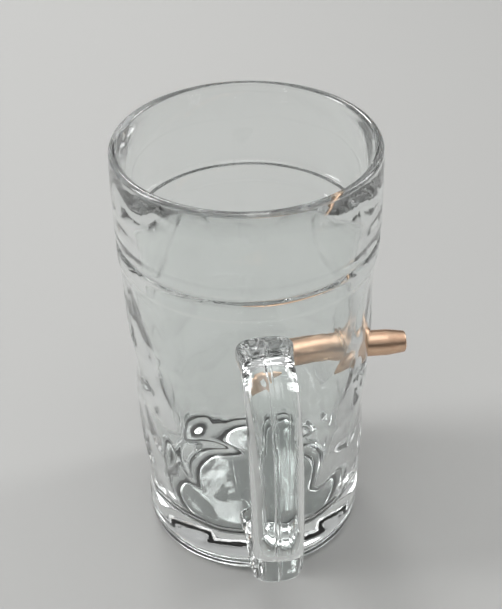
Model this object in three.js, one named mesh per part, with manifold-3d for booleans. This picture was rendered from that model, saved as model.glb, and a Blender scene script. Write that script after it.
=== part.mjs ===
// Half-litre beer stein of pressed glass with a copper bullet set through its wall.
// Millimetres, +Z up. The handle points to -Y and the bullet's base to +X.
import * as THREE from "three";
import { mergeVertices } from "three/addons/utils/BufferGeometryUtils.js";
import Module from "manifold-3d";

const wasm = await Module();
wasm.setup();

// Outside of the glass
const HEIGHT = 159;
const RIM_RADIUS = 44;
const LIP_THICKNESS = 3;
const BAND_RADIUS = 44.6;
const BAND_HEIGHT = 31.5;
const BAND_TAPER_HEIGHT = 18;
const GROOVE_DEPTH = 0.8;
const GROOVE_WIDTH = 1.8;
const BEAD_RADIUS = 44.5;
const BEAD_HEIGHT = 5.2;
const SHOULDER_HEIGHT = 3;
const WALL_TOP_RADIUS = 43.8;
const WALL_FOOT_RADIUS = 40.4;
const FOOT_ROUNDING = 5.6;
const STANDING_RING_RADIUS = 30.5;
const UNDERSIDE_RECESS = 1.2;

// Cavity that the plunger presses
const FLOOR_THICKNESS = 13;
const FLOOR_ROUNDING = 9;
const CAVITY_FLOOR_RADIUS = 33.4;
const CAVITY_NECK_RADIUS = 38.4;
const NECK_DROP = 20;

// Dimples, in staggered rows from under the shoulder down to the foot
const DIMPLES_PER_ROW = 8;
const DIMPLE_DIAMETER = 29;
const DIMPLE_DEPTH = 1.2;
const FIRST_ROW_DROP = 17.4;
const ROW_PITCH = 26;

// Handle, an ear-shaped strap in the plane of the mould's parting
const STRAP_WIDTH = 17;
const STRAP_THICKNESS = 12.5;
const STRAP_ROUNDING = 4;
const FINGER_GAP = 23.8;
const TOP_ROOT_DROP = 14.6;
const BOTTOM_ROOT_HEIGHT = 29.8;
const BELLY_HEIGHT = 54;
const TOP_BOW = 26;
const UPPER_BOW = 29;
const LOWER_BOW = 22.5;
const BOTTOM_BOW = 28;
const BOTTOM_SLOPE = THREE.MathUtils.degToRad(12);
const ROOT_DEPTH = 3;
const ROOT_FLARE = 0.8;
const ROOT_FLARE_REACH = 8;

// Bullet, boat-tailed, base outwards, and the adhesive that holds it
const BULLET_DIAMETER = 9.5;
const BULLET_LENGTH = 60;
const BULLET_BASE_DIAMETER = 7.9;
const BOAT_TAIL_LENGTH = 6.8;
const BULLET_BASE_ROUNDING = 0.8;
const OGIVE_LENGTH = 18;
const TIP_DIAMETER = 1.4;
const BULLET_HEIGHT = 72;
const BULLET_STANDOFF = 14.3;
const BOND_THICKNESS = 0.8;
const BOND_CLEARANCE = 0.15;
const BOND_FILLET = 0.7;

// Facets
const LATHE_SEGMENTS = 64;
const DIMPLE_SEGMENTS = 20;
const DIMPLE_RINGS = 2;
const BULLET_SEGMENTS = 32;
const ARC_DIVISIONS = 2;
const STRAP_STEPS = 26;
const WELD_DISTANCE = 1e-4;

// Heights and radii that follow from the sizes above
const grooveZ = HEIGHT - BAND_HEIGHT;
const beadTopZ = grooveZ - GROOVE_WIDTH / 2;
const beadFootZ = beadTopZ - BEAD_HEIGHT;
const wallTopZ = beadFootZ - SHOULDER_HEIGHT;
const wallTaper = Math.atan2(WALL_TOP_RADIUS - WALL_FOOT_RADIUS, wallTopZ - FOOT_ROUNDING);
const neckZ = HEIGHT - NECK_DROP;
const cavityFootZ = FLOOR_THICKNESS + FLOOR_ROUNDING;
const dimpleSphere = ((DIMPLE_DIAMETER / 2) ** 2 + DIMPLE_DEPTH ** 2) / (2 * DIMPLE_DEPTH);

function between(value, low, high) {
  return (value - low) / (high - low);
}

// Radius of the undimpled wall at a height.
function wallRadius(z) {
  return THREE.MathUtils.lerp(WALL_FOOT_RADIUS, WALL_TOP_RADIUS, between(z, FOOT_ROUNDING, wallTopZ));
}

// Radius of the cavity at a height between its floor rounding and its neck.
function cavityRadius(z) {
  return THREE.MathUtils.lerp(CAVITY_FLOOR_RADIUS, CAVITY_NECK_RADIUS, between(z, cavityFootZ, neckZ));
}

// Closed geometry to solid: shared corners are welded and the slivers at the poles dropped.
function solidFrom(geometry) {
  const bare = geometry.clone();
  bare.deleteAttribute("normal");
  bare.deleteAttribute("uv");
  const welded = mergeVertices(bare, WELD_DISTANCE);
  const corners = [];
  for (let i = 0; i < welded.index.count; i += 3) {
    const [a, b, c] = welded.index.array.slice(i, i + 3);
    if (a !== b && b !== c && c !== a) {
      corners.push(a, b, c);
    }
  }
  return new wasm.Manifold(new wasm.Mesh({
    numProp: 3,
    vertProperties: new Float32Array(welded.attributes.position.array),
    triVerts: new Uint32Array(corners),
  }));
}

function geometryFrom(solid) {
  const { vertProperties, triVerts } = solid.getMesh();
  const geometry = new THREE.BufferGeometry();
  geometry.setAttribute("position", new THREE.BufferAttribute(vertProperties, 3));
  geometry.setIndex(new THREE.BufferAttribute(triVerts, 1));
  geometry.computeVertexNormals();
  return geometry;
}

// Section of the pressing from the middle of the underside, over the lip, to the middle of the floor.
function glassSection() {
  const section = new THREE.Path();
  const footCentre = WALL_FOOT_RADIUS - FOOT_ROUNDING;
  const lipRadius = LIP_THICKNESS / 2;
  const lipZ = HEIGHT - lipRadius;
  const bandTopZ = HEIGHT - BAND_TAPER_HEIGHT;
  const shoulderZ = (wallTopZ + beadFootZ) / 2;
  section.moveTo(0, UNDERSIDE_RECESS);
  section.lineTo(STANDING_RING_RADIUS - UNDERSIDE_RECESS, UNDERSIDE_RECESS);
  section.lineTo(STANDING_RING_RADIUS, 0);
  section.lineTo(footCentre, 0);
  section.absarc(footCentre, FOOT_ROUNDING, FOOT_ROUNDING, -Math.PI / 2, 0, false);
  section.lineTo(WALL_TOP_RADIUS, wallTopZ);
  section.bezierCurveTo(WALL_TOP_RADIUS, shoulderZ, BEAD_RADIUS, shoulderZ, BEAD_RADIUS, beadFootZ);
  section.lineTo(BEAD_RADIUS, beadTopZ);
  section.quadraticCurveTo(BEAD_RADIUS - 2 * GROOVE_DEPTH, grooveZ, BAND_RADIUS, grooveZ + GROOVE_WIDTH / 2);
  section.lineTo(BAND_RADIUS, bandTopZ);
  section.quadraticCurveTo(BAND_RADIUS, (bandTopZ + lipZ) / 2, RIM_RADIUS, lipZ);
  section.absarc(RIM_RADIUS - lipRadius, lipZ, lipRadius, 0, Math.PI, false);
  section.quadraticCurveTo(CAVITY_NECK_RADIUS, (lipZ + neckZ) / 2, CAVITY_NECK_RADIUS, neckZ);
  section.lineTo(CAVITY_FLOOR_RADIUS, cavityFootZ);
  section.absarc(CAVITY_FLOOR_RADIUS - FLOOR_ROUNDING, cavityFootZ, FLOOR_ROUNDING, 0, -Math.PI / 2, true);
  section.lineTo(0, FLOOR_THICKNESS);
  return section.getPoints(ARC_DIVISIONS);
}

function pressedBody() {
  return solidFrom(new THREE.LatheGeometry(glassSection(), LATHE_SEGMENTS).rotateX(Math.PI / 2));
}

// Cutter laid out flat: a spherical cap dipping below the wall, closed above it by a collar and a lid.
function dimpleCutter() {
  const capRadius = (DIMPLE_DIAMETER + DIMPLE_DEPTH) / 2;
  const capAngle = Math.asin(capRadius / dimpleSphere);
  const cap = new THREE.Path();
  cap.absarc(0, dimpleSphere - DIMPLE_DEPTH, dimpleSphere, -Math.PI / 2, capAngle - Math.PI / 2, false);
  const profile = cap.getPoints(DIMPLE_RINGS);
  profile[0].x = 0;
  profile.push(new THREE.Vector2(capRadius, 2 * DIMPLE_DEPTH));
  profile.push(new THREE.Vector2(0, 2 * DIMPLE_DEPTH));
  return new THREE.LatheGeometry(profile, DIMPLE_SEGMENTS).rotateZ(-Math.PI / 2);
}

// Wraps flat geometry round the wall, x as height above it, so that a round cutter leaves a round dimple.
function onWall(geometry, turn, height) {
  const place = geometry.attributes.position;
  for (let i = 0; i < place.count; i += 1) {
    const z = height + place.getZ(i);
    const around = turn + place.getY(i) / wallRadius(height);
    const radius = wallRadius(z) + place.getX(i);
    place.setXYZ(i, radius * Math.sin(around), -radius * Math.cos(around), z);
  }
  return geometry;
}

// Row heights run down from the shoulder while a whole dimple still fits above the foot's rounding.
function dimpleRows() {
  const rows = [];
  for (let z = beadFootZ - FIRST_ROW_DROP; z > FOOT_ROUNDING + DIMPLE_DIAMETER / 2; z -= ROW_PITCH) {
    rows.push(z);
  }
  return rows;
}

// Every second row is turned by half a step. The wall round the handle's roots stays plain.
function dimples() {
  const cutter = dimpleCutter();
  const step = 2 * Math.PI / DIMPLES_PER_ROW;
  const rootHeight = (DIMPLE_DIAMETER + STRAP_THICKNESS) / 2;
  const rootWidth = (DIMPLE_DIAMETER + STRAP_WIDTH) / 2;
  const cuts = [];
  dimpleRows().forEach((z, row) => {
    const atRoot = handleRoots().some((root) => Math.abs(root.y - z) < rootHeight);
    for (let i = 0; i < DIMPLES_PER_ROW; i += 1) {
      const turn = step * (i + (row % 2 === 0 ? 0.5 : 0));
      const fromHandle = 2 * wallRadius(z) * Math.sin(turn / 2);
      if (!(atRoot && fromHandle < rootWidth)) {
        cuts.push(solidFrom(onWall(cutter.clone(), turn, z)));
      }
    }
  });
  return cuts;
}

// Points on the wall, as radius and height, where the strap's middle line starts and ends.
function handleRoots() {
  const topZ = beadFootZ - TOP_ROOT_DROP;
  return [
    new THREE.Vector2(wallRadius(topZ), topZ),
    new THREE.Vector2(wallRadius(BOTTOM_ROOT_HEIGHT), BOTTOM_ROOT_HEIGHT),
  ];
}

function bellyRadius() {
  return wallRadius(BELLY_HEIGHT) + FINGER_GAP + STRAP_THICKNESS / 2;
}

// Middle line of the strap: out of the wall, round the belly and back in on a slope.
function handlePath() {
  const [top, bottom] = handleRoots();
  const at = (radius, z) => new THREE.Vector3(0, -radius, z);
  const [out, rise] = [Math.cos(BOTTOM_SLOPE), Math.sin(BOTTOM_SLOPE)];
  const sloped = (run) => at(bottom.x + run * out, bottom.y + run * rise);
  const belly = at(bellyRadius(), BELLY_HEIGHT);
  const path = new THREE.CurvePath();
  path.add(new THREE.LineCurve3(at(top.x - ROOT_DEPTH, top.y), at(top.x, top.y)));
  path.add(new THREE.CubicBezierCurve3(
    at(top.x, top.y),
    at(top.x + TOP_BOW, top.y),
    at(bellyRadius(), BELLY_HEIGHT + UPPER_BOW),
    belly,
  ));
  path.add(new THREE.CubicBezierCurve3(
    belly,
    at(bellyRadius(), BELLY_HEIGHT - LOWER_BOW),
    sloped(BOTTOM_BOW),
    sloped(0),
  ));
  path.add(new THREE.LineCurve3(sloped(0), sloped(-ROOT_DEPTH)));
  return path;
}

// Cross-section of the strap, thickness along x and width along y, with round edges.
function strapSection() {
  const across = STRAP_THICKNESS / 2 - STRAP_ROUNDING;
  const along = STRAP_WIDTH / 2 - STRAP_ROUNDING;
  const section = new THREE.Shape();
  section.absarc(across, along, STRAP_ROUNDING, 0, Math.PI / 2, false);
  section.absarc(-across, along, STRAP_ROUNDING, Math.PI / 2, Math.PI, false);
  section.absarc(-across, -along, STRAP_ROUNDING, Math.PI, 1.5 * Math.PI, false);
  section.absarc(across, -along, STRAP_ROUNDING, 1.5 * Math.PI, 2 * Math.PI, false);
  section.closePath();
  return section;
}

// The strap grows wider and thicker towards its roots, over the flare's reach from the wall.
function handle() {
  const strap = new THREE.ExtrudeGeometry(strapSection(), {
    extrudePath: handlePath(),
    steps: STRAP_STEPS,
    curveSegments: ARC_DIVISIONS,
  });
  const [top, bottom] = handleRoots();
  const place = strap.attributes.position;
  for (let i = 0; i < place.count; i += 1) {
    const radius = -place.getY(i);
    const z = place.getZ(i);
    const reach = between(radius, wallRadius(z), wallRadius(z) + ROOT_FLARE_REACH);
    const flare = ROOT_FLARE * (1 - THREE.MathUtils.clamp(reach, 0, 1)) ** 2;
    const sloped = bottom.y + (radius - bottom.x) * Math.tan(BOTTOM_SLOPE);
    const middle = z > BELLY_HEIGHT ? top.y : sloped;
    place.setX(i, place.getX(i) * (1 + 2 * flare / STRAP_WIDTH));
    place.setZ(i, middle + (z - middle) * (1 + 2 * flare / STRAP_THICKNESS));
  }
  return solidFrom(strap);
}

// Depth of the dimple that the bullet passes through, at the bullet's height.
function wallDipAtBullet() {
  const turnedRows = dimpleRows().filter((z, row) => row % 2 === 1);
  const drop = Math.min(DIMPLE_DIAMETER, ...turnedRows.map((z) => Math.abs(z - BULLET_HEIGHT)));
  return Math.max(0, DIMPLE_DEPTH - drop ** 2 / (2 * dimpleSphere));
}

// Bore for the bullet, from outside the wall into the cavity, along the bullet's own axis +Y.
function bulletBore() {
  const radius = BULLET_DIAMETER / 2 + BOND_THICKNESS + 2 * BOND_CLEARANCE;
  return new THREE.CylinderGeometry(radius, radius, BULLET_LENGTH, BULLET_SEGMENTS);
}

// Boat-tailed bullet on +Y: flat tip, ogive tangent to the shank, shank, tapered tail, rounded base edge.
function bullet() {
  const shank = BULLET_DIAMETER / 2;
  const base = BULLET_BASE_DIAMETER / 2;
  const tip = TIP_DIAMETER / 2;
  const ogiveRadius = (OGIVE_LENGTH ** 2 + (shank - tip) ** 2) / (2 * (shank - tip));
  const ogiveSpan = Math.asin(OGIVE_LENGTH / ogiveRadius);
  const noseY = BULLET_STANDOFF - BULLET_LENGTH;
  const profile = new THREE.Path();
  profile.moveTo(0, noseY);
  profile.lineTo(tip, noseY);
  profile.absarc(shank - ogiveRadius, noseY + OGIVE_LENGTH, ogiveRadius, -ogiveSpan, 0, false);
  profile.lineTo(shank, BULLET_STANDOFF - BOAT_TAIL_LENGTH);
  profile.lineTo(base, BULLET_STANDOFF - BULLET_BASE_ROUNDING);
  profile.quadraticCurveTo(base, BULLET_STANDOFF, base - BULLET_BASE_ROUNDING, BULLET_STANDOFF);
  profile.lineTo(0, BULLET_STANDOFF);
  return new THREE.LatheGeometry(profile.getPoints(ARC_DIVISIONS), BULLET_SEGMENTS);
}

// Ring of clear adhesive between bore and bullet, with a sloping fillet at either end.
function bond() {
  const inside = BULLET_DIAMETER / 2 + BOND_CLEARANCE;
  const outside = inside + BOND_THICKNESS;
  const outerY = -wallDipAtBullet();
  const innerY = cavityRadius(BULLET_HEIGHT) - wallRadius(BULLET_HEIGHT);
  const profile = [
    new THREE.Vector2(inside, innerY - BOND_FILLET),
    new THREE.Vector2(outside, innerY),
    new THREE.Vector2(outside, outerY),
    new THREE.Vector2(inside, outerY + BOND_FILLET),
    new THREE.Vector2(inside, innerY - BOND_FILLET),
  ];
  return new THREE.LatheGeometry(profile, BULLET_SEGMENTS);
}

// The bullet stands square to the tapered wall, so its base end points a little down.
function bulletSeat() {
  const outward = new THREE.Vector3(Math.cos(wallTaper), 0, -Math.sin(wallTaper));
  const seat = new THREE.Group();
  seat.position.set(wallRadius(BULLET_HEIGHT), 0, BULLET_HEIGHT);
  seat.quaternion.setFromUnitVectors(new THREE.Vector3(0, 1, 0), outward);
  seat.updateMatrix();
  return seat;
}

function namedMesh(name, geometry, look) {
  const mesh = new THREE.Mesh(geometry, new THREE.MeshStandardMaterial(look));
  mesh.name = name;
  return mesh;
}

const clearGlass = { color: 0xdfe9e4, roughness: 0.03, metalness: 0, transparent: true, opacity: 0.35 };
const copper = { color: 0xc98a5c, roughness: 0.28, metalness: 1 };
const clearAdhesive = { color: 0xe6e2d2, roughness: 0.12, metalness: 0, transparent: true, opacity: 0.6 };

const seat = bulletSeat();
const glass = dimples()
  .reduce((body, cut) => body.subtract(cut), pressedBody())
  .add(handle())
  .subtract(solidFrom(bulletBore().applyMatrix4(seat.matrix)));

seat.add(namedMesh("copper_bullet", geometryFrom(solidFrom(bullet())), copper));
seat.add(namedMesh("adhesive_sleeve", geometryFrom(solidFrom(bond())), clearAdhesive));

// The origin is under the middle of the whole object's box, on the surface that it stands on.
const bulletReach = seat.position.x + BULLET_STANDOFF * Math.cos(wallTaper);
const handleReach = bellyRadius() + STRAP_THICKNESS / 2;
const stein = new THREE.Group();
stein.position.set((BAND_RADIUS - bulletReach) / 2, (handleReach - BAND_RADIUS) / 2, 0);
stein.add(namedMesh("glass_stein", geometryFrom(glass), clearGlass));
stein.add(seat);

const part = new THREE.Group();
part.add(stein);
export default part;
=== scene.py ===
import math

import bpy
import numpy as np
from mathutils import Matrix, Vector


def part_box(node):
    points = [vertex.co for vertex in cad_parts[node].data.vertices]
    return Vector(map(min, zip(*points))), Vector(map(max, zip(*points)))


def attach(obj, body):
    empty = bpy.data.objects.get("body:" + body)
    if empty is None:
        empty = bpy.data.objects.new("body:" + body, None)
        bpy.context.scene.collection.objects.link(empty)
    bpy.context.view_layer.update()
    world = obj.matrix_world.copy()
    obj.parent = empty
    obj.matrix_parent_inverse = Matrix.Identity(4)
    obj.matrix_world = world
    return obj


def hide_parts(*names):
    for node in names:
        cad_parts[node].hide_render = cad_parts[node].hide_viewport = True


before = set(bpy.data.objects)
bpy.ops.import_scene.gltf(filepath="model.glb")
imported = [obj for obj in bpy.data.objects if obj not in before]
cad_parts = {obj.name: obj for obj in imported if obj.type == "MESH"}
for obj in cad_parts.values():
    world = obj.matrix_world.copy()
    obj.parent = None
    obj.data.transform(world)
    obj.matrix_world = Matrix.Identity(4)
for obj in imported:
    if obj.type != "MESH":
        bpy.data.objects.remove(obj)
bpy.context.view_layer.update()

# Sizes in millimetres; meshes are put down in metres.
MM = 0.001

# Outside of the glass
HEIGHT = 159.0
RIM_RADIUS = 44.0
LIP_THICKNESS = 3.0
BAND_RADIUS = 44.6
BAND_HEIGHT = 31.5
BAND_TAPER_HEIGHT = 18.0
GROOVE_DEPTH = 0.8
GROOVE_WIDTH = 1.8
GROOVE_EASE_BELOW = 0.3
GROOVE_EASE_ABOVE = 0.4
EDGE_SOFTENING = 1.6
BEAD_RADIUS = 44.5
BEAD_HEIGHT = 5.2
SHOULDER_HEIGHT = 3.0
WALL_TOP_RADIUS = 43.8
WALL_FOOT_RADIUS = 40.4
FOOT_ROUNDING = 5.6
STANDING_RING_RADIUS = 30.5
UNDERSIDE_RECESS = 1.2

# Cavity
FLOOR_THICKNESS = 13.0
FLOOR_ROUNDING = 9.0
CAVITY_FLOOR_RADIUS = 33.4
CAVITY_NECK_RADIUS = 38.4
NECK_DROP = 20.0

# Dimples
DIMPLES_PER_ROW = 8
DIMPLE_DIAMETER = 29.0
DIMPLE_DEPTH = 1.2
FIRST_ROW_DROP = 17.4
ROW_PITCH = 26.0
ROWS = 4
DIMPLE_EDGE = 0.2
PLAIN_PLACES = {(0, 0), (0, 7), (3, 0)}  # (row, place) next to the handle's roots
LOWEST_DIMPLED = 0.3 * FOOT_ROUNDING

# Waves that pressing leaves in the outer and the inner wall, and the room that they need inside the solid
OUTER_WAVE, OUTER_PHASE = 0.035, 1.3
INNER_WAVE, INNER_PHASE, INNER_STRETCH = 0.09, 4.2, 0.6
WAVE_ROOM = 0.08

# Handle
STRAP_WIDTH = 17.0
STRAP_THICKNESS = 12.5
STRAP_SQUARENESS = 2.6
STRAP_CLEARANCE = 0.02
FINGER_GAP = 23.8
TOP_ROOT_DROP = 14.6
BOTTOM_ROOT_HEIGHT = 29.8
BELLY_HEIGHT = 54.0
TOP_BOW = 26.0
UPPER_BOW = 29.0
LOWER_BOW = 22.5
BOTTOM_BOW = 28.0
BOTTOM_SLOPE = math.radians(12)
ROOT_DEPTH = 3.0
ROOT_FLARE = 0.8
ROOT_FLARE_REACH = 8.0

# Line that the mould's parting leaves on the pressing
SEAM_HEIGHT = 0.28
SEAM_WIDTH = 0.34
BODY_SEAM_SHARE = 0.5

# Bullet and its adhesive
BULLET_DIAMETER = 9.5
BULLET_LENGTH = 60.0
BULLET_BASE_DIAMETER = 7.9
BOAT_TAIL_LENGTH = 6.8
BULLET_BASE_ROUNDING = 0.8
BASE_EDGE_LEAN = 0.05
TAIL_SOFTENING = 0.6
OGIVE_LENGTH = 18.0
TIP_DIAMETER = 1.4
TIP_SOFTENING = 0.2
TIP_EDGE = (0.06, 0.25)
OGIVE_START = 0.7
POLE_RADIUS = 0.05
BULLET_HEIGHT = 72.0
BULLET_STANDOFF = 14.29
BORE_SQUEEZE = 0.05
BORE_FROM, BORE_TO = -20.0, 12.0
COLLAR_WIDTH = 1.3
COLLAR_RISE = 1.0
COLLAR_SINK = 0.05
COLLAR_HOLLOW = (0.25 * COLLAR_WIDTH, 0.12)

# Points along and round the pieces
WALL_STEPS = 104
CAVITY_STEPS = 40
BODY_COLUMNS = 288
STRAP_STEPS = 52
BULLET_COLUMNS = 128
BORE_COLUMNS = 96

# Edges sharper than these stay sharp
GLASS_CREASE = math.radians(38)
BULLET_CREASE = math.radians(40)
COLLAR_CREASE = math.radians(50)

GLASS_IOR = 1.52
ADHESIVE_IOR = 1.5

# Heights, radii and places that follow
groove_z = HEIGHT - BAND_HEIGHT
bead_top_z = groove_z - GROOVE_WIDTH / 2
bead_foot_z = bead_top_z - BEAD_HEIGHT
wall_top_z = bead_foot_z - SHOULDER_HEIGHT
neck_z = HEIGHT - NECK_DROP
cavity_foot_z = FLOOR_THICKNESS + FLOOR_ROUNDING
wall_taper = math.atan2(WALL_TOP_RADIUS - WALL_FOOT_RADIUS, wall_top_z - FOOT_ROUNDING)
bore_radius = BULLET_DIAMETER / 2 - BORE_SQUEEZE
glass_low, glass_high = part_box("glass_stein")
axis_x = (glass_low[0] + glass_high[0]) / 2 / MM
axis_y = glass_high[1] / MM - BAND_RADIUS
AXIS = np.array([axis_x, axis_y, 0.0])


def wall_radius(z):
    """Radius of the undimpled wall: a straight taper from the foot's rounding to the shoulder."""
    return WALL_FOOT_RADIUS + (z - FOOT_ROUNDING) * math.tan(wall_taper)


def cavity_radius(z):
    """Radius of the straight stretch of the cavity."""
    share = (z - cavity_foot_z) / (neck_z - cavity_foot_z)
    return CAVITY_FLOOR_RADIUS + share * (CAVITY_NECK_RADIUS - CAVITY_FLOOR_RADIUS)


def line(start, end, count):
    """Points from start up to, and without, end, equally spaced."""
    t = np.arange(count)[:, None] / count
    return (1 - t) * np.array(start) + t * np.array(end)


def arc(centre, radius, first, last, count):
    """Points on a circle from the first angle up to, and without, the last, angles in degrees."""
    turn = np.radians(first + (last - first) * np.arange(count) / count)
    return np.array(centre) + radius * np.stack([np.cos(turn), np.sin(turn)], 1)


def bow(points, count):
    """Bezier curve of any degree over its control points, without its last point, as (radius, height)."""
    t = np.arange(count)[:, None] / count
    degree = len(points) - 1
    weights = [math.comb(degree, k) * t**k * (1 - t) ** (degree - k) for k in range(degree + 1)]
    return sum(w * np.array(p) for w, p in zip(weights, points))


def glass_section():
    """Section of the pressing as (radius, height), in lines, arcs and bows joined end to end.

    It runs from the middle of the underside round the foot, up the wall, over the lip and down to the floor.
    """
    foot = WALL_FOOT_RADIUS - FOOT_ROUNDING
    lip = LIP_THICKNESS / 2
    lip_z = HEIGHT - lip
    band_top_z = HEIGHT - BAND_TAPER_HEIGHT
    shoulder_z = (wall_top_z + bead_foot_z) / 2
    groove = (BEAD_RADIUS - GROOVE_DEPTH, groove_z)
    crest_z = bead_top_z - EDGE_SOFTENING
    edge_z = groove_z + GROOVE_WIDTH + EDGE_SOFTENING
    ring = STANDING_RING_RADIUS
    return np.concatenate([
        line((0, UNDERSIDE_RECESS), (ring - 2 * UNDERSIDE_RECESS, UNDERSIDE_RECESS), 6),
        bow([(ring - 2 * UNDERSIDE_RECESS, UNDERSIDE_RECESS), (ring - UNDERSIDE_RECESS, UNDERSIDE_RECESS),
             (ring - UNDERSIDE_RECESS, 0), (ring, 0)], 6),
        line((ring, 0), (foot, 0), 3),
        arc((foot, FOOT_ROUNDING), FOOT_ROUNDING, -90, 0, 14),
        line((WALL_FOOT_RADIUS, FOOT_ROUNDING), (WALL_TOP_RADIUS, wall_top_z), WALL_STEPS),
        bow([(WALL_TOP_RADIUS, wall_top_z), (WALL_TOP_RADIUS, shoulder_z),
             (BEAD_RADIUS, shoulder_z), (BEAD_RADIUS, bead_foot_z)], 12),
        line((BEAD_RADIUS, bead_foot_z), (BEAD_RADIUS, crest_z), 4),
        bow([(BEAD_RADIUS, crest_z), (BEAD_RADIUS, bead_top_z),
             (groove[0], groove_z - GROOVE_EASE_BELOW), groove], 12),
        bow([groove, (groove[0], groove_z + GROOVE_EASE_ABOVE),
             (BAND_RADIUS, groove_z + GROOVE_WIDTH / 2), (BAND_RADIUS, edge_z)], 14),
        line((BAND_RADIUS, edge_z), (BAND_RADIUS, band_top_z), 8),
        bow([(BAND_RADIUS, band_top_z), (BAND_RADIUS, (band_top_z + lip_z) / 2), (RIM_RADIUS, lip_z)], 10),
        arc((RIM_RADIUS - lip, lip_z), lip, 0, 180, 14),
        bow([(RIM_RADIUS - LIP_THICKNESS, lip_z), (CAVITY_NECK_RADIUS, (lip_z + neck_z) / 2),
             (CAVITY_NECK_RADIUS, neck_z)], 14),
        line((CAVITY_NECK_RADIUS, neck_z), (CAVITY_FLOOR_RADIUS, cavity_foot_z), CAVITY_STEPS),
        arc((CAVITY_FLOOR_RADIUS - FLOOR_ROUNDING, cavity_foot_z), FLOOR_ROUNDING, 0, -90, 14),
        line((CAVITY_FLOOR_RADIUS - FLOOR_ROUNDING, FLOOR_THICKNESS), (0, FLOOR_THICKNESS), 6),
        np.array([[0, FLOOR_THICKNESS]]),
    ])


def soft_lower(a, b, reach):
    """Lower of two heights, rounded over where they are within reach of each other."""
    share = np.clip(0.5 + 0.5 * (b - a) / reach, 0, 1)
    return b + (a - b) * share - reach * share * (1 - share)


def dimpled(radius, turn, z):
    """Wall radius after the dimples: less D (1 - s^2 / A^2) within A of a dimple's middle, edges rounded.

    s is the distance along the wall, D the depth and A half the diameter. turn is the angle from the handle
    towards the bullet. The places next to the handle's roots stay plain.
    """
    no_hollow = 2 * BAND_RADIUS
    for row, place in np.ndindex(ROWS, DIMPLES_PER_ROW):
        if (row, place) in PLAIN_PLACES:
            continue
        row_z = bead_foot_z - FIRST_ROW_DROP - row * ROW_PITCH
        lean = turn - 2 * math.pi / DIMPLES_PER_ROW * (place + (0.5 if row % 2 == 0 else 0.0))
        lean = np.mod(lean + math.pi, 2 * math.pi) - math.pi
        away = ((wall_radius(row_z) * lean) ** 2 + (z - row_z) ** 2) / (DIMPLE_DIAMETER / 2) ** 2
        hollow = np.where(away < 1.5, wall_radius(z) - DIMPLE_DEPTH * (1 - away), no_hollow)
        radius = soft_lower(radius, hollow, DIMPLE_EDGE)
    return radius


def seam(offset):
    """Height of the parting line across itself: a narrow bell."""
    return SEAM_HEIGHT * np.exp(-((offset / SEAM_WIDTH) ** 2))


def ripple(turn, z, phase):
    """Slow waves that pressing and fire polishing leave in the surface: a few crossed sines."""
    return (
        np.sin(3 * turn + 0.11 * z + phase)
        + 0.7 * np.sin(7 * turn - 0.17 * z + 2.1 * phase)
        + 0.5 * np.sin(11 * turn + 0.29 * z + 3.7 * phase)
    )


def mesh_from(name, points, faces):
    """Object at the origin from points in millimetres about the glass's axis, and faces of corner numbers."""
    mesh = bpy.data.meshes.new(name)
    mesh.from_pydata(((points + AXIS) * MM).tolist(), [], faces)
    mesh.validate()
    mesh.shade_smooth()
    piece = bpy.data.objects.new(name, mesh)
    bpy.context.scene.collection.objects.link(piece)
    return piece


def grid_faces(rows, columns, bands):
    """Faces of the first bands of a grid, each between a row and the next, closing round rows and columns."""
    row, column = np.meshgrid(np.arange(bands), np.arange(columns), indexing="ij")
    below, after = (row + 1) % rows, (column + 1) % columns
    here, under = row * columns, below * columns
    corners = [here + column, here + after, under + after, under + column]
    return np.stack(corners, -1).reshape(-1, 4).tolist()


def closed_grid(name, points):
    """Piece from a grid of points, rows along a profile and columns round it, closed at both ends by fans."""
    rows, columns, _ = points.shape
    ends = np.stack([points[0].mean(0), points[-1].mean(0)])
    count = rows * columns
    ring = np.arange(columns)
    following = (ring + 1) % columns
    first = np.stack([np.full(columns, count), following, ring], 1)
    last = np.stack([np.full(columns, count + 1), ring + count - columns, following + count - columns], 1)
    faces = grid_faces(rows, columns, rows - 1) + first.tolist() + last.tolist()
    return mesh_from(name, np.concatenate([points.reshape(-1, 3), ends]), faces)


def seam_angles(count):
    """Angles round the glass, closer together at the two parting lines."""
    close = np.radians(np.array([0.2, 0.45, 0.7, 1.0, 1.4]))
    near = np.concatenate([-close, [0.0], close])
    even = 2 * math.pi * np.arange(count) / count
    clear = np.abs(np.sin(even)) > math.sin(math.radians(1.8))
    return np.sort(np.mod(np.concatenate([even[clear], near, near + math.pi]), 2 * math.pi))


def pressed_body():
    """Body of the glass: the section turned about the axis, its outer wall dimpled, rippled and seamed."""
    section = glass_section()[1:-1]
    turn = seam_angles(BODY_COLUMNS)
    r, t = np.meshgrid(section[:, 0], turn, indexing="ij")
    z = np.broadcast_to(section[:, 1:], r.shape)
    highest = section[:, 1].argmax()
    outside = np.arange(len(section))[:, None] <= highest
    on_wall = outside & (z > LOWEST_DIMPLED) & (z < bead_top_z)
    r = np.where(on_wall, dimpled(r, t, z), r)
    standing = np.clip((z - 1) / FOOT_ROUNDING, 0, 1) * np.clip((HEIGHT - z) / NECK_DROP, 0, 1)
    outer_waves = OUTER_WAVE * ripple(t, z, OUTER_PHASE)
    inner_waves = INNER_WAVE * ripple(t, INNER_STRETCH * z, INNER_PHASE)
    waves = np.where(outside, outer_waves, inner_waves)
    r = r + standing * (waves - (WAVE_ROOM + BODY_SEAM_SHARE * SEAM_HEIGHT) * outside)
    r = r + np.where(outside, standing * BODY_SEAM_SHARE * seam(r * np.sin(t)), 0)
    return closed_grid("glass_stein_visual", np.stack([r * np.sin(t), -r * np.cos(t), z], -1))


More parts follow.
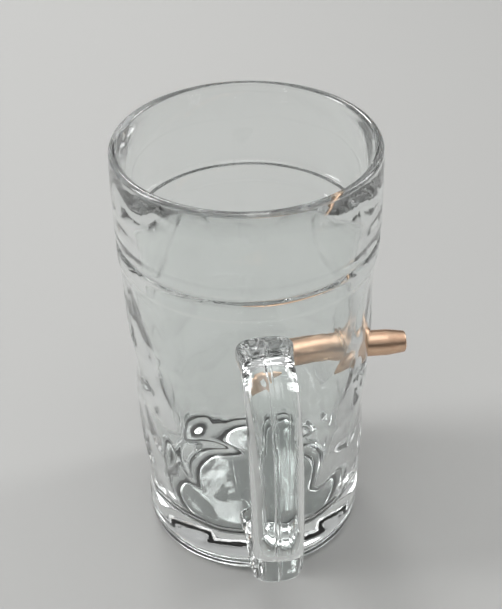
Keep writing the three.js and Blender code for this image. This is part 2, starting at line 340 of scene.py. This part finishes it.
def handle_line(count):
    """Middle line of the strap as (radius, height): straight into each root, two cubic bows between."""
    top_z = bead_foot_z - TOP_ROOT_DROP
    top = np.array([wall_radius(top_z), top_z])
    bottom = np.array([wall_radius(BOTTOM_ROOT_HEIGHT), BOTTOM_ROOT_HEIGHT])
    slope = np.array([math.cos(BOTTOM_SLOPE), math.sin(BOTTOM_SLOPE)])
    belly = np.array([wall_radius(BELLY_HEIGHT) + FINGER_GAP + STRAP_THICKNESS / 2, BELLY_HEIGHT])
    return np.concatenate([
        line(top - [ROOT_DEPTH, 0], top, 6),
        bow([top, top + [TOP_BOW, 0], belly + [0, UPPER_BOW], belly], count),
        bow([belly, belly - [0, LOWER_BOW], bottom + BOTTOM_BOW * slope, bottom], count),
        line(bottom, bottom - ROOT_DEPTH * slope, 6),
        (bottom - ROOT_DEPTH * slope)[None],
    ])


def strap_section():
    """Outline of the strap as (thickness, width): |t / a|^n + |w / b|^n = 1, seamed down each broad face.

    One quarter runs from the middle of the outer face to the middle of an edge, and is mirrored three times.
    Its points are set by their width on the face, and past a share of the width by their thickness.
    """
    a, b, n = STRAP_THICKNESS / 2 - SEAM_HEIGHT - STRAP_CLEARANCE, STRAP_WIDTH / 2, STRAP_SQUARENESS
    face_share = 0.88
    face = np.concatenate([[0.0, 0.2, 0.4, 0.6, 0.9, 1.4, 2.0], np.linspace(2.7, face_share * b, 9)])
    edge = np.linspace(a * (1 - face_share**n) ** (1 / n), 0, 8)[1:]
    width = np.concatenate([face, b * (1 - (edge / a) ** n) ** (1 / n)])
    thickness = np.concatenate([a * (1 - (face / b) ** n) ** (1 / n) + seam(face), edge])
    quarter = np.stack([thickness, width], 1)
    return np.concatenate([
        quarter,
        quarter[-2::-1] * (-1, 1),
        quarter[1:] * (-1, -1),
        quarter[-2:0:-1] * (1, -1),
    ])


def handle_strap():
    """Handle: the strap's outline carried along its middle line, swelling towards the wall at both roots."""
    middle = handle_line(STRAP_STEPS)
    along = np.gradient(middle, axis=0)
    along /= np.linalg.norm(along, axis=1)[:, None]
    across = np.stack([-along[:, 1], along[:, 0]], 1)
    outline = strap_section()
    from_wall = np.clip((middle[:, 0] - wall_radius(middle[:, 1])) / ROOT_FLARE_REACH, 0, 1)
    flare = ROOT_FLARE * (1 - from_wall) ** 2
    thick = outline[None, :, 0] * (1 + 2 * flare / STRAP_THICKNESS)[:, None]
    wide = outline[None, :, 1] * (1 + 2 * flare / STRAP_WIDTH)[:, None]
    radius = middle[:, :1] + across[:, :1] * thick
    z = middle[:, 1:] + across[:, 1:] * thick
    return closed_grid("handle_strap", np.stack([wide, -radius, z], -1))


def bullet_axes():
    """Seat of the bullet on the wall, and the unit vectors outwards along it and across it."""
    seat = np.array([wall_radius(BULLET_HEIGHT), 0, BULLET_HEIGHT])
    outward = np.array([math.cos(wall_taper), 0, -math.sin(wall_taper)])
    upward = np.array([math.sin(wall_taper), 0, math.cos(wall_taper)])
    return seat, outward, upward


def turned(name, profile, columns):
    """Piece turned on the bullet's axis from a profile of (radius, distance outwards from the wall)."""
    seat, outward, upward = bullet_axes()
    turn = 2 * math.pi * np.arange(columns) / columns
    sideways = np.array([0.0, 1.0, 0.0])
    spoke = np.cos(turn)[:, None] * upward - np.sin(turn)[:, None] * sideways
    points = seat + profile[:, None, 1:] * outward + profile[:, None, :1] * spoke
    return closed_grid(name, points)


def bullet_profile():
    """Half section of the bullet: flat tip, tangent ogive, shank, boat tail, base with a rounded edge."""
    shank, base, tip = BULLET_DIAMETER / 2, BULLET_BASE_DIAMETER / 2, TIP_DIAMETER / 2
    ogive = (OGIVE_LENGTH**2 + (shank - tip) ** 2) / (2 * (shank - tip))
    span = math.degrees(math.asin(OGIVE_LENGTH / ogive))
    nose = BULLET_STANDOFF - BULLET_LENGTH
    tail = BULLET_STANDOFF - BOAT_TAIL_LENGTH
    soft = TAIL_SOFTENING
    lean = (shank - base) / BOAT_TAIL_LENGTH
    edge = BULLET_STANDOFF - BULLET_BASE_ROUNDING
    return np.concatenate([
        line((POLE_RADIUS, nose), (tip - TIP_SOFTENING, nose), 3),
        bow([(tip - TIP_SOFTENING, nose), (tip, nose), (tip + TIP_EDGE[0], nose + TIP_EDGE[1])], 5),
        arc((shank - ogive, nose + OGIVE_LENGTH), ogive, OGIVE_START - span, 0, 40),
        line((shank, nose + OGIVE_LENGTH), (shank, tail - soft), 16),
        bow([(shank, tail - soft), (shank, tail), (shank - lean * soft, tail + soft)], 6),
        line((shank - lean * soft, tail + soft), (base, edge), 10),
        bow([(base, edge), (base - BASE_EDGE_LEAN, BULLET_STANDOFF),
             (base - BULLET_BASE_ROUNDING, BULLET_STANDOFF)], 8),
        line((base - BULLET_BASE_ROUNDING, BULLET_STANDOFF), (POLE_RADIUS, BULLET_STANDOFF), 6),
        np.array([[POLE_RADIUS, BULLET_STANDOFF]]),
    ])


def wall_reach(y, z):
    """Distance of the dimpled outer wall from the axis along +X, at an offset y and a height z."""
    x = wall_radius(z)
    for _ in range(4):
        x = np.sqrt(dimpled(wall_radius(z), np.arctan2(x, -y), z) ** 2 - y**2)
    return x


def adhesive_collar(name, outside):
    """Fillet of adhesive where the bullet leaves the wall: a hollow slope from the wall up to the bullet.

    Its foot follows the wall, and its section is a closed loop of three sides carried round the bullet.
    """
    seat_x = wall_radius(BULLET_HEIGHT)
    turn = 2 * math.pi * np.arange(BORE_COLUMNS) / BORE_COLUMNS
    loop = np.concatenate([
        bow([(COLLAR_WIDTH, -COLLAR_SINK), COLLAR_HOLLOW, (0, COLLAR_RISE)], 10),
        line((0, COLLAR_RISE), (0, -COLLAR_SINK), 4),
        line((0, -COLLAR_SINK), (COLLAR_WIDTH, -COLLAR_SINK), 4),
    ])
    radius = bore_radius + loop[:, None, 0]
    y = radius * -np.sin(turn)
    z = BULLET_HEIGHT + radius * np.cos(turn)
    if outside:
        x = wall_reach(y, z) + loop[:, None, 1]
    else:
        x = np.sqrt(cavity_radius(z) ** 2 - y**2) - loop[:, None, 1]
    points = np.stack([x, y, z - (x - seat_x) * math.tan(wall_taper)], -1)
    return mesh_from(name, points.reshape(-1, 3), grid_faces(len(loop), BORE_COLUMNS, len(loop)))


def face_out(piece):
    """Turns the piece's faces outwards when its signed volume is negative."""
    mesh = piece.data
    mesh.calc_loop_triangles()
    corners = np.empty(len(mesh.vertices) * 3)
    mesh.vertices.foreach_get("co", corners)
    triangles = np.empty(len(mesh.loop_triangles) * 3, dtype=np.int64)
    mesh.loop_triangles.foreach_get("vertices", triangles)
    a, b, c = corners.reshape(-1, 3)[triangles.reshape(-1, 3)].transpose(1, 0, 2)
    if np.einsum("ij,ij->", a, np.cross(b, c)) < 0:
        mesh.flip_normals()


def combine(piece, other, operation):
    """Joins other to the piece, or cuts it out, and keeps only the result."""
    modifier = piece.modifiers.new(operation.lower(), "BOOLEAN")
    modifier.operation = operation
    modifier.solver = "MANIFOLD"
    modifier.object = other
    depsgraph = bpy.context.evaluated_depsgraph_get()
    result = bpy.data.meshes.new_from_object(piece.evaluated_get(depsgraph))
    piece.modifiers.clear()
    piece.data = result
    bpy.data.objects.remove(other)


class Value:
    """One output of a shader tree. Arithmetic on it adds Math nodes."""

    def __init__(self, tree, socket):
        self.tree = tree
        self.socket = socket

    def math(self, operation, first, second):
        return self.tree.node("ShaderNodeMath", {"operation": operation}, {0: first, 1: second})

    def __add__(self, other):
        return self.math("ADD", self, other)

    def __radd__(self, other):
        return self.math("ADD", other, self)

    def __sub__(self, other):
        return self.math("SUBTRACT", self, other)

    def __rsub__(self, other):
        return self.math("SUBTRACT", other, self)

    def __mul__(self, other):
        return self.math("MULTIPLY", self, other)

    def __rmul__(self, other):
        return self.math("MULTIPLY", other, self)

    def __pow__(self, other):
        return self.math("POWER", self, other)


class Finish:
    """Material whose nodes are added by one method: type, settings, then values or links of sockets."""

    def __init__(self, name):
        self.material = bpy.data.materials.new(name)
        self.material.use_nodes = True
        self.nodes = self.material.node_tree.nodes
        self.links = self.material.node_tree.links
        self.shader = self.nodes["Principled BSDF"]

    def node(self, kind, settings, sockets, output=0):
        made = self.nodes.new(kind)
        for key, value in settings.items():
            setattr(made, key, value)
        self.feed(made, sockets)
        return Value(self, made.outputs[output])

    def feed(self, made, sockets):
        for key, value in sockets.items():
            if isinstance(value, Value):
                self.links.new(value.socket, made.inputs[key])
            else:
                made.inputs[key].default_value = value

    def shade(self, **sockets):
        self.feed(self.shader, {key.replace("_", " "): value for key, value in sockets.items()})

    def place(self, scale):
        """Object coordinates in metres, stretched by scale along each axis."""
        where = self.node("ShaderNodeTexCoord", {}, {}, "Object")
        return self.node("ShaderNodeMapping", {}, {"Vector": where, "Scale": scale})

    def noise(self, scale, detail, roughness=0.5):
        """Cloudy values about 0.5, with scale cells to the metre along each axis."""
        return self.node("ShaderNodeTexNoise", {}, {
            "Vector": self.place(scale), "Scale": 1.0, "Detail": detail, "Roughness": roughness,
        })

    def step(self, value, low, high):
        """0 below low and 1 above high, smooth between."""
        return self.node("ShaderNodeMapRange", {"interpolation_type": "SMOOTHSTEP"}, {
            "Value": value, "From Min": low, "From Max": high,
        })

    def blend(self, share, first, second):
        """First colour where share is 0, second where it is 1; either may be a value of the tree."""
        first, second = (c if isinstance(c, Value) else (*c, 1.0) for c in (first, second))
        return self.node("ShaderNodeMix", {"data_type": "RGBA"}, {0: share, 6: first, 7: second}, 2)

    def bump(self, height, distance):
        return self.node("ShaderNodeBump", {}, {"Height": height, "Distance": distance, "Strength": 1.0})


def clear_glass():
    """Fire-polished glass: faint grey-green, with slight haze and dust scuffs."""
    finish = Finish("clear_glass")
    haze = finish.step(finish.noise((38, 38, 26), 4.0, 0.6), 0.52, 0.74)
    specks = finish.step(finish.noise((1500, 1500, 1100), 1.0), 0.73, 0.78)
    wash = finish.noise((14, 14, 9), 2.0)
    peel = finish.noise((210, 210, 150), 2.0)
    finish.shade(
        Base_Color=finish.blend(wash, (0.95, 0.968, 0.962), (0.92, 0.95, 0.94)),
        Roughness=0.002 + 0.012 * haze + 0.12 * specks,
        Normal=finish.bump(peel, 0.00002),
    )
    finish.shader.inputs["Transmission Weight"].default_value = 1.0
    finish.shader.inputs["IOR"].default_value = GLASS_IOR
    return finish.material


def bullet_copper():
    """Bare copper with draw marks along the bullet, darker in patches."""
    finish = Finish("bullet_copper")
    streaks = finish.noise((45, 1900, 1900), 3.0, 0.6)
    patches = finish.step(finish.noise((160, 220, 220), 4.0, 0.6), 0.45, 0.75)
    tint = finish.blend(finish.step(streaks, 0.3, 0.7), (0.90, 0.58, 0.40), (0.97, 0.70, 0.50))
    finish.shade(
        Base_Color=finish.blend(0.55 * patches, tint, (0.70, 0.40, 0.25)),
        Roughness=0.28 + 0.12 * streaks + 0.1 * patches,
        Normal=finish.bump(streaks, 0.00004),
    )
    finish.shader.inputs["Metallic"].default_value = 1.0
    return finish.material


def clear_adhesive():
    """Cured adhesive: clear, a little milky in places."""
    finish = Finish("clear_adhesive")
    cloud = finish.noise((420, 420, 420), 3.0)
    finish.shade(
        Base_Color=finish.blend(cloud, (0.97, 0.985, 0.97), (0.90, 0.93, 0.89)),
        Roughness=0.05 + 0.1 * cloud,
        Normal=finish.bump(cloud, 0.00005),
    )
    finish.shader.inputs["Transmission Weight"].default_value = 1.0
    finish.shader.inputs["IOR"].default_value = ADHESIVE_IOR
    return finish.material


def declare(piece, node, material):
    """Gives a finished piece its material and its place on the frame."""
    face_out(piece)
    piece.data.materials.clear()
    piece.data.materials.append(material)
    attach(piece, "root")
    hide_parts(node)


def stage_plane(name, centre, right, up, material):
    """Rectangle about its centre, from half its width and half its height as vectors, in metres."""
    centre, right, up = (np.array(v, dtype=float) for v in (centre, right, up))
    mesh = bpy.data.meshes.new(name)
    corners = [centre - right - up, centre + right - up, centre + right + up, centre - right + up]
    mesh.from_pydata([c.tolist() for c in corners], [], [(0, 1, 2, 3)])
    plane = bpy.data.objects.new(name, mesh)
    mesh.materials.append(material)
    bpy.context.scene.collection.objects.link(plane)
    return plane


def soft_box(name, centre, right, up, strength):
    """Glowing panel, fading towards its edges, that shows in reflections but not to the camera."""
    finish = Finish(name)
    spot = finish.node("ShaderNodeTexCoord", {}, {}, "Generated")
    across, along = (int(np.abs(way).argmax()) for way in (right, up))
    u = finish.node("ShaderNodeSeparateXYZ", {}, {"Vector": spot}, across)
    v = finish.node("ShaderNodeSeparateXYZ", {}, {"Vector": spot}, along)
    glow = (16 * u * (1 - u) * v * (1 - v)) ** 0.6
    finish.shade(
        Base_Color=(0, 0, 0, 1.0),
        Emission_Color=finish.blend(glow, (0, 0, 0), (1, 1, 1)),
        Emission_Strength=strength,
    )
    panel = stage_plane(name, centre, right, up, finish.material)
    panel.visible_camera = False


glass = pressed_body()
strap = handle_strap()
bore = turned("bore", np.array([[bore_radius, BORE_FROM], [bore_radius, BORE_TO]]), BORE_COLUMNS)
for solid in (glass, strap, bore):
    face_out(solid)
combine(glass, strap, "UNION")
combine(glass, bore, "DIFFERENCE")
glass.data.shade_smooth()
glass.data.set_sharp_from_angle(angle=GLASS_CREASE)
declare(glass, "glass_stein", clear_glass())

bullet = turned("copper_bullet_visual", bullet_profile(), BULLET_COLUMNS)
bullet.data.set_sharp_from_angle(angle=BULLET_CREASE)
declare(bullet, "copper_bullet", bullet_copper())

collars = adhesive_collar("adhesive_sleeve_visual", True)
inner_collar = adhesive_collar("inner_collar", False)
for solid in (collars, inner_collar):
    face_out(solid)
combine(collars, inner_collar, "UNION")
collars.data.set_sharp_from_angle(angle=COLLAR_CREASE)
declare(collars, "adhesive_sleeve", clear_adhesive())

# Floor, soft boxes and camera, in metres
FLOOR_REACH = 40
WORLD_GREY = 0.04
BOXES = (
    # name, centre, half the width, half the height, strength
    ("ceiling_light", (0, 0, 3), (6, 0, 0), (0, 6, 0), 0.55),
    ("top_soft_box", (-0.05, -0.1, 0.95), (0.36, 0, 0), (0, 0.42, 0), 3.4),
    ("back_soft_box", (-0.15, 0.8, 0.8), (0.18, 0, 0), (0, 0.16, 0), 16.0),
    ("left_soft_box", (-1.4, 0.2, 1.0), (0, 0.28, 0), (0, 0, 0.68), 16.0),
    ("right_soft_box", (1.4, 0.4, 1.0), (0, -0.2, 0), (0, 0, 0.68), 10.0),
)
floor_finish = Finish("pale_floor")
floor_finish.shade(Base_Color=(0.44, 0.44, 0.43, 1.0), Roughness=0.7)
stage_plane("floor", (0, 0, 0), (FLOOR_REACH, 0, 0), (0, FLOOR_REACH, 0), floor_finish.material)
for box in BOXES:
    soft_box(*box)

world = bpy.data.worlds.new("studio")
world.use_nodes = True
world.node_tree.nodes["Background"].inputs["Color"].default_value = (*[WORLD_GREY] * 3, 1.0)
bpy.context.scene.world = world
bpy.context.scene.view_settings.view_transform = "Standard"

# Camera: its focal length in pixels of the picture, its place from the glass's axis in millimetres
IMAGE_HEIGHT = 609
FOCAL_PIXELS = 1200
CAMERA_BACK = 337.5
CAMERA_UP = 345.1
CAMERA_PITCH = math.radians(36.64)
CAMERA_YAW = math.radians(0.09)
CAMERA_ROLL = math.radians(-1.19)
CAMERA_ROUND = math.radians(-6)

camera = bpy.data.cameras.new("camera")
camera.sensor_fit = "VERTICAL"
camera.sensor_height = 36.0
camera.lens = FOCAL_PIXELS * camera.sensor_height / IMAGE_HEIGHT
view = bpy.data.objects.new("camera", camera)
bpy.context.scene.collection.objects.link(view)
ahead = math.cos(CAMERA_PITCH)
forward = Vector((math.sin(CAMERA_YAW) * ahead, math.cos(CAMERA_YAW) * ahead, -math.sin(CAMERA_PITCH)))
right = Vector((math.cos(CAMERA_YAW), -math.sin(CAMERA_YAW), 0))
up = right.cross(forward)
level = Matrix((right, up, -forward)).transposed() @ Matrix.Rotation(CAMERA_ROLL, 3, "Z")
turned_round = Matrix.Rotation(CAMERA_ROUND, 3, "Z")
spot = turned_round @ Vector((0, -CAMERA_BACK, CAMERA_UP))
view.matrix_world = Matrix.Translation((Vector(AXIS.tolist()) + spot) * MM) @ (turned_round @ level).to_4x4()
bpy.context.scene.camera = view

# Light crosses many walls of glass
GLASS_BOUNCES = 32
cycles = bpy.context.scene.cycles
cycles.max_bounces = GLASS_BOUNCES
cycles.transmission_bounces = GLASS_BOUNCES
cycles.glossy_bounces = 24
cycles.transparent_max_bounces = GLASS_BOUNCES
